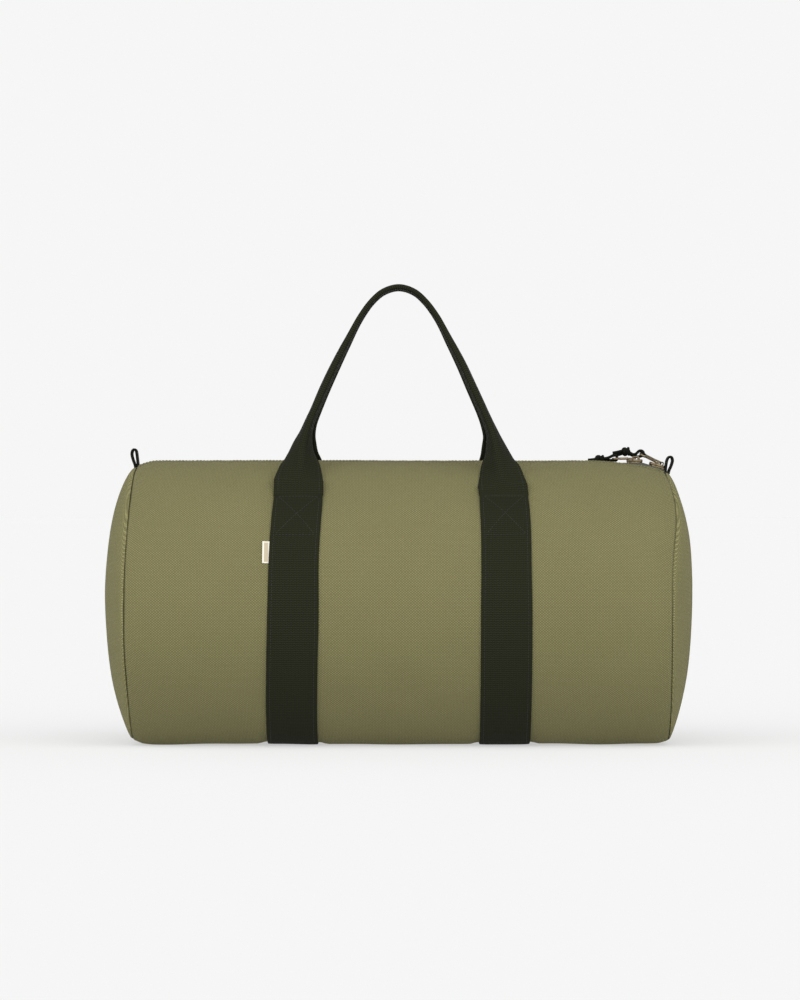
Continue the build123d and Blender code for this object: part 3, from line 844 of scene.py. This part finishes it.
# ---- Handles ----
# The legs from their stitching upwards: y and z of the middle of their outer face, then the left
# leg's x and width from the front, and the right leg's
LEGS = (
    (-89.8, 268.6, -102.2, 49.0, 102.8, 47.8),
    (-85.4, 278.6, -101.2, 45.8, 101.4, 44.0),
    (-82.4, 289.3, -100.0, 39.2, 99.4, 36.6),
    (-79.8, 298.0, -99.4, 31.2, 98.2, 28.8),
    (-77.6, 306.0, -98.4, 23.6, 96.6, 22.2),
    (-74.4, 319.4, -94.9, 15.4, 93.0, 14.6),
    (-70.5, 331.7, -90.7, 11.2, 88.2, 11.4),
    (-67.2, 343.0, -85.9, 9.9, 83.4, 10.3),
    (-60.2, 366.6, -75.9, 9.8, 72.9, 10.0),
    (-53.0, 390.3, -64.8, 9.4, 62.2, 9.4),
    (-45.8, 414.1, -52.8, 8.1, 50.1, 8.1),
    (-38.0, 437.9, -40.0, 6.2, 37.4, 6.2),
    (-31.8, 454.4, -27.9, 5.0, 25.0, 5.0),
    (-29.0, 463.8, -16.4, 4.7, 13.6, 4.7),
)
APEX = (-1.4, -28.2, 467.9, 4.6)
ACROSS = np.linspace(-0.5, 0.5, 29) * (WEB_W - 0.8 * WEBBING)


def part_way(p, q, start, end, t):
    return (end - t) / (end - start) * p + (t - start) / (end - start) * q


def spline(knots, spacing):
    """Catmull-Rom curve through rows of numbers whose first three are a place, evenly spaced."""
    k = np.asarray(knots, float)
    k = np.vstack([2 * k[0] - k[1], k, 2 * k[-1] - k[-2]])
    dense = []
    for a, b, c, d in zip(k, k[1:], k[2:], k[3:]):
        steps = np.linalg.norm(np.diff([a, b, c, d], axis=0)[:, :3], axis=1) ** 0.5
        t0, t1, t2, t3 = np.append(0, np.cumsum(steps))
        t = np.linspace(t1, t2, 24, endpoint=False)[:, None]
        ab, bc, cd = part_way(a, b, t0, t1, t), part_way(b, c, t1, t2, t), part_way(c, d, t2, t3, t)
        dense.append(part_way(part_way(ab, bc, t0, t2, t), part_way(bc, cd, t1, t3, t), t1, t2, t))
    dense = np.vstack([*dense, k[-2]])
    run = lengths(dense[:, :3])
    even = np.linspace(0, run[-1], int(run[-1] / spacing))
    return read(even, run, dense), even


def fold_profile(width_seen):
    """Webbing folded backwards about its middle, as wide as this from the front: side and back."""

    def bent(angle):
        soft = 1.6 + 9.0 * (1 - angle / (math.pi / 2))
        arc = min(soft * angle, 0.9 * ACROSS[-1])
        soft = max(arc / max(angle, 1e-6), 1e-6)
        rest = np.maximum(np.abs(ACROSS) - arc, 0)
        turn = np.minimum(np.abs(ACROSS) / soft, angle)
        side = soft * np.sin(turn) + rest * math.cos(angle)
        back = soft * (1 - np.cos(turn)) + rest * math.sin(angle)
        return np.sign(ACROSS) * side, back

    low, high = 0.0, math.pi / 2
    for _ in range(30):
        angle = (low + high) / 2
        if 2 * bent(angle)[0].max() + WEBBING * math.sin(angle) > width_seen:
            low = angle
        else:
            high = angle
    return bent((low + high) / 2)


def half_handle(side):
    """Rows from a strap's stitching up a leg: the middle's place, and the width from the front."""
    sewn = [(*strap_point(side, 0.0, w, WEBBING)[0], WEB_W) for w in (ROOT + ROOT_LAP, ROOT, ROOT - ROOT_LAP)]
    first = 2 if side < 0 else 4
    return sewn + [(row[first], *row[:2], row[first + 1]) for row in LEGS]


def handle(where, side):
    """One carry handle, from its left end to its right end. side is -1 for the front one."""
    line, run = spline(half_handle(-1) + [APEX] + half_handle(1)[::-1], 3.0)
    tangent = unit(np.gradient(line[:, :3], axis=0))
    square = smooth(np.minimum(run, run[-1] - run) / 24)
    level = np.stack([np.ones_like(square), square, square], -1)
    lateral = unit(np.cross([0, 1.0, 0], tangent) * level)
    rear = np.cross(tangent, lateral)
    rows = []
    for at, across, back_way in zip(line, lateral, rear):
        side_way, back = fold_profile(at[3])
        rows.append(at[:3] + back_way * WEBBING / 2 + across * side_way[:, None] + back_way * back[:, None])
    mid = np.array(rows)
    normal = unit(np.cross(np.gradient(mid, axis=1), np.gradient(mid, axis=0)))
    normal = normal * -np.sign((normal * rear[:, None]).sum(-1)[:, len(ACROSS) // 2].mean())
    edge = unit(np.gradient(mid, axis=1))
    half = WEBBING / 2
    outer, inner = mid + normal * half, mid - normal * half
    first, last = mid[:, :1] - edge[:, :1] * 0.8 * half, mid[:, -1:] + edge[:, -1:] * 0.8 * half
    ring = np.concatenate([outer, last, inner[:, ::-1], first, outer[:, :1]], 1)
    ring_n = np.concatenate([normal, edge[:, -1:], -normal[:, ::-1], -edge[:, :1], normal[:, :1]], 1)
    u = np.concatenate([ACROSS, ACROSS[-1:], ACROSS[::-1], ACROSS[:1], ACROSS[:1]])
    uv = np.stack(np.broadcast_arrays(u, (ROOT + ROOT_LAP - run)[:, None]), -1)
    if side > 0:
        ring = ring - np.sign(ring[..., :1]) * bump(ring[..., 2:] - 296, 24) * [2.6, 0, 0]
        outer = ring[:, : len(ACROSS)]
    build = Build()
    turn = np.array([1.0, -side, 1.0])
    build.grid(ring * turn, ring_n * turn, uv, flip=side < 0)
    for column in (2, -3):
        seam, ups = outer[:, column] * turn, normal[:, column] * turn
        for part in (slice(2, 26), slice(-26, -2)):
            stitches(build, seam[part], ups[part], 1, spacing=3.5, length=2.6, thick=0.3, rise=0.0)
    piece = build.make(f"handle_webbing_{where}", [WEB_MAT, DARK_THREAD_MAT])
    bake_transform(piece)
    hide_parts(f"handle_{where}")


handle("front", -1)
handle("rear", 1)


# ---- End loops and label ----
LOOP_W, LOOP_T = 20.0, 2.3


def end_loop(where, line):
    """A webbing loop: a closed-up line in the XZ plane, as wide along Y as its webbing."""
    build = Build()
    p = np.asarray(line, float)
    run = lengths(p)
    s = np.linspace(0, run[-1], 72)
    path = read(s, run, p)
    kernel = np.hanning(11) / np.hanning(11).sum()
    padded = np.vstack([np.repeat(path[:1], 5, 0), path, np.repeat(path[-1:], 5, 0)])
    path = np.stack([np.convolve(column, kernel, "valid") for column in padded.T], -1)
    tangent = unit(np.gradient(path, axis=0))
    out = np.stack([-tangent[:, 1], tangent[:, 0]], -1)
    y, height, normal_y, normal_out = web_profile(LOOP_W, LOOP_T).T
    places = path[:, None] + out[:, None] * (height - LOOP_T / 2)[:, None]
    normals = out[:, None] * normal_out[:, None]
    y, normal_y, gs = np.broadcast_arrays(y, normal_y, s[:, None])
    p = np.stack([places[..., 0], y, places[..., 1]], -1)
    n = np.stack([normals[..., 0], normal_y, normals[..., 1]], -1)
    tube_grid(build, p, n, np.stack([y, gs], -1))
    settle(build.make(f"end_loop_webbing_{where}", [LOOP_MAT]), "loop_webbing", f"end_loop_{where}")


end_loop(
    "left",
    [(-271.9, 280.5), (-272.4, 284.5), (-275.0, 291.5), (-276.2, 296.5), (-275.4, 300.5), (-273.4, 301.9)]
    + [(-271.6, 300.7), (-270.9, 297.0), (-270.2, 291.0), (-269.6, 285.5), (-269.6, 281.5)],
)
end_loop(
    "right",
    [(273.0, 275.0), (273.2, 279.0), (273.8, 285.0), (274.6, 290.0), (276.2, 293.3), (278.2, 294.2)]
    + [(280.1, 293.0), (280.7, 289.5), (279.0, 284.0), (276.8, 279.5), (276.0, 275.5)],
)


def label():
    """Small folded label caught under the left strap's edge."""
    build = Build()
    ws = R * np.radians(np.linspace(*LABEL_TURN, 14))
    gw, gu = np.meshgrid(ws, np.linspace(0, LABEL_W, 10), indexing="ij")
    p, n = canvas(gu - 137.6, gw)
    curl = 0.55 + 0.5 * smooth((3 - gu) / 3) + 0.25 * np.sin((gw - ws[0]) * 0.25)
    outer, inner = p + n * (curl + 0.45)[..., None], p + n * (curl - 0.35)[..., None]
    uv = np.stack([gu, gw], -1)
    build.grid(outer, n, uv)
    build.grid(inner, -n, uv, flip=True)
    edges = {(0, 0, 1): np.s_[0, :], (0, 0, -1): np.s_[-1, :], (-1, 0, 0): np.s_[:, 0], (1, 0, 0): np.s_[:, -1]}
    for away, edge in edges.items():
        build.rim(outer[edge], inner[edge], uv[edge], away, flip=min(away) < 0)
    settle(build.make("woven_label", [LABEL_MAT]), "label", "side_label")


label()


# ---- Zip ----
SINK = 1.0  # the chain's middle under the middle of the sliders' places
PITCH = 1.95  # from tooth to tooth
TAPE_Y = np.array([3.0, 4.8, 6.5, 7.8, 9.2, 11.5, 14.0, 16.0])
TOOTH_Y = np.array([-0.55, -0.2, 1.4, 3.4, 4.1])  # a tooth's rings, from its tip to its foot on the tape
TOOTH_FAT = np.array([0.55, 0.95, 0.62, 0.62, 0.3])
TOOTH_RING = 8


def chain_z(x):
    """Height of the middle of the chain."""
    fall = np.maximum(x - SLOPE_X, 0) * math.tan(SLOPE)
    return CHAIN_Z - SINK - fall - 2.4 * smooth((-236 - x) / 34)


def parting(x):
    """How far each side of the chain stands off its middle: open between the two sliders."""
    return 1.5 * smooth((x - 246) / 4) * smooth((260 - x) / 4)


def tooth(build, side, x):
    """One turn of the coil, lying across the chain."""
    a, fat = circle(TOOTH_RING), TOOTH_FAT[:, None]
    y = side * (TOOTH_Y[:, None] + parting(x))
    z = chain_z(x) + 0.05 + 1.15 * (0.6 + 0.4 * fat) * np.sin(a)
    shell = np.stack(np.broadcast_arrays(x + 0.713 * fat * np.cos(a), y, z), -1)
    normal = np.stack(np.broadcast_arrays(np.cos(a), 0 * fat, np.sin(a)), -1)
    faces = [face[::-side] for face in ring_faces(len(TOOTH_Y), TOOTH_RING)]
    count = len(TOOTH_Y) * TOOTH_RING
    build.add(shell.reshape(-1, 3), faces, np.zeros((count, 2)), normal.reshape(-1, 3), 1)


def zip_tape(side, where, zone, x0, x1):
    """A stretch of one side's tape, tucked under the canvas, with its teeth."""
    build = Build()
    gx, gy = np.meshgrid(graded((x0, x1), (4.0,)), TAPE_Y, indexing="ij")
    tucked = smooth((gy - 6.5) / 2.7)
    under = canvas(gx, gy if side < 0 else GIRTH - gy)[0]
    z = chain_z(gx) * (1 - tucked) + (under[..., 2] - 2.9) * tucked + 0.15 * np.sin(gx * 0.33) * tucked
    top = np.stack([gx, side * (gy + parting(gx) * (1 - tucked)), z + 0.3], -1)
    low = top - [0, 0, 0.6]
    up = np.broadcast_to([0.0, 0.0, 1.0], top.shape)
    uv = np.stack([gx, gy], -1)
    build.grid(top, up, uv, flip=side < 0)
    build.grid(low, -up, uv, flip=side > 0)
    for column, away in ((0, -side), (-1, side)):
        build.rim(top[:, column], low[:, column], uv[:, column], (0, away, 0), flip=away < 0)
    first, last = (math.ceil((x - ZIP_X0) / PITCH) for x in (x0, x1))
    for x in ZIP_X0 + PITCH * (np.arange(first, last) + (0.0 if side < 0 else 0.5)):
        if x <= ZIP_X1:
            tooth(build, side, x)
    piece = build.make(f"zip_{where}_{zone}", [TAPE_MAT, TOOTH_MAT])
    return piece


for side, where in ((-1, "front"), (1, "rear")):
    for zone, x0, x1 in ZONES:
        piece = zip_tape(side, where, zone, x0, x1)
        zone_blend(piece)
        if zone == "middle":
            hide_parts(f"zip_tape_{where}", f"zip_coil_{where}")
    for end, x0, x1 in (("left_end", -270, MOUTH_X0), ("right_end", MOUTH_X1, 274)):
        piece = zip_tape(side, where, end, x0, x1)
        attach(piece, "bag")
        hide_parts(f"zip_tape_{where}_{end}", f"zip_coil_{where}_{end}")


# ---- Sliders, pullers and stop ----
LEFT_X, RIGHT_X = 241.5, 264.0  # where the sliders are parked
LEFT_PIVOT, RIGHT_PIVOT = (242.3, 0, 292.2), (268.376, 0, 286.788)  # the pullers' pins
PLATE = ((-8.25, 3.9), (-7.4, 5.2), (2.0, 6.1), (6.0, 5.9), (7.9, 4.4), (8.25, 2.2))  # half of its outline
CROWN = (
    (-3.3, 3.0), (-3.2, 5.7), (-2.3, 6.8), (2.6, 6.8), (4.2, 5.7), (5.2, 3.0),
    (2.1, 3.0), (2.0, 5.3), (1.5, 5.7), (-1.5, 5.7), (-2.0, 5.3), (-2.1, 3.0),
)
EYE, CORD_EYE = (-6.0, 0.0), (-23.2, -17.2)  # both ends of a puller's two rings
EYE_HALF = 3.1


def cast(mesh, outline, low, high, bevel, upright=False):
    """Adds a bevelled slab of this outline, lying from low to high, or standing up across Y."""
    turn = Matrix(((1, 0, 0), (0, 0, 1), (0, 1, 0))) if upright else Matrix.Identity(3)
    bottom, top = ([mesh.verts.new(turn @ Vector((x, y, z))) for x, y in outline] for z in (low, high))
    after = [i - len(outline) + 1 for i in range(len(outline))]
    faces = [bottom[::-1], top] + [[bottom[i], bottom[j], top[j], top[i]] for i, j in enumerate(after)]
    made = [mesh.faces.new(face) for face in faces]
    bmesh.ops.recalc_face_normals(mesh, faces=made)
    edges = list({edge for face in made for edge in face.edges})
    bmesh.ops.bevel(mesh, geom=edges, offset=bevel, segments=2, profile=0.5, affect="EDGES")


def block(x0, x1, half, y=0.0):
    return [(x0, y - half), (x1, y - half), (x1, y + half), (x0, y + half)]


def hoop(mesh, x0, x1, half, wide, thick):
    """Adds a closed ring of bar: a rounded rectangle in the XY plane, by the middle of its bar."""
    corner, steps = 1.6, 6
    path = []
    for cx, cy, start in ((x1 - corner, half - corner, 0), (x0 + corner, half - corner, 90)):
        path += [(cx, cy, start + 90 * i / steps) for i in range(steps + 1)]
    path += [(x0 + x1 - cx, -cy, angle + 180) for cx, cy, angle in path]
    bar = []
    for sx, sz in ((1, 1), (-1, 1), (-1, -1), (1, -1)):
        for fx, fz in ((1.0, 0.5), (0.5, 1.0))[:: sx * sz]:
            bar.append((sx * fx * wide / 2, sz * fz * thick / 2))
    rings = []
    for cx, cy, angle in path:
        out = Vector((math.cos(math.radians(angle)), math.sin(math.radians(angle)), 0))
        middle = Vector((cx, cy, 0)) + out * corner
        rings.append([mesh.verts.new(middle + out * dx + Vector((0, 0, dz))) for dx, dz in bar])
    made = []
    for one, two in zip(rings, rings[1:] + rings[:1]):
        for i in range(len(bar)):
            made.append(mesh.faces.new([one[i - 1], one[i], two[i], two[i - 1]]))
    bmesh.ops.recalc_face_normals(mesh, faces=made)


def finish_metal(mesh, name, node, place, body):
    """Turns the collected solids into one piece of zip metal at its place."""
    mesh.transform(Matrix.Scale(MM, 4) @ place)
    data = bpy.data.meshes.new(name)
    mesh.to_mesh(data)
    mesh.free()
    data.materials.append(METAL_MAT)
    data.polygons.foreach_set("use_smooth", [True] * len(data.polygons))
    data.set_sharp_from_angle(angle=math.radians(32))
    settle(put_in_scene(name, data), "zip_metal", node, body=body)


def slider(where, nose, crown_x, place):
    """Two plates with turned-in lips, a post between them at the nose, and a crown for the puller."""
    mesh = bmesh.new()
    outline = [(x * nose, y) for x, y in PLATE] + [(x * nose, -y) for x, y in PLATE[::-1]]
    cast(mesh, outline, 1.5 - SINK, 3.4, 0.6)
    cast(mesh, outline, -3.3 - SINK, -1.6 - SINK, 0.45)
    for y in (-5.1, 5.1):
        lip = [(x * nose, y) for x, y in block(-7.7, 5.2, 0.5, y)]
        for low, high in ((0.45, 1.9), (-1.9, -0.45)):
            cast(mesh, lip, low - SINK, high - SINK, 0.15)
    cast(mesh, block(*sorted((4.2 * nose, 8.1 * nose)), 0.8), -1.7 - SINK, 1.7 - SINK, 0.2)
    cast(mesh, [(x * nose + crown_x, z) for x, z in CROWN], -1.7, 1.7, 0.22, upright=True)
    body = f"slider_{where}"
    finish_metal(mesh, f"zip_{body}", body, place, body)


def puller(where, place):
    """A flat tab: an eye round the slider's crown, a ribbed blade and a hole for the cord."""
    mesh = bmesh.new()
    hoop(mesh, *EYE, EYE_HALF, 1.6, 1.7)
    cast(mesh, block(-18.0, -5.6, EYE_HALF), -0.9, 0.9, 0.4)
    cast(mesh, block(-16.6, -7.4, 1.8), -1.3, 1.3, 0.4)
    hoop(mesh, *CORD_EYE, EYE_HALF, 1.7, 2.0)
    body = f"puller_{where}"
    finish_metal(mesh, f"zip_{body}", body, place, body)


def turned(degrees, axis):
    return Matrix.Rotation(math.radians(degrees), 4, axis)


slider("left", 1, 0.8, Matrix.Translation((LEFT_X, 0, CHAIN_Z)))
right_place = Matrix.Translation((RIGHT_X, 0, CHAIN_Z - (RIGHT_X - SLOPE_X) * math.tan(SLOPE)))
slider("right", -1, 3.2, right_place @ Matrix.Rotation(SLOPE, 4, "Y"))
puller("left", Matrix.Translation(LEFT_PIVOT) @ turned(-1.0, "Y"))
puller("right", Matrix.Translation(RIGHT_PIVOT) @ turned(27.0, "Y") @ turned(24.0, "X"))

stop = bmesh.new()
cast(stop, block(-264.4, -261.4, 3.4), -1.7, 1.7, 0.6)
finish_metal(stop, "zip_end_stop", "zip_stop_left", Matrix.Translation((0, 0, float(chain_z(-263.0)))), "bag")
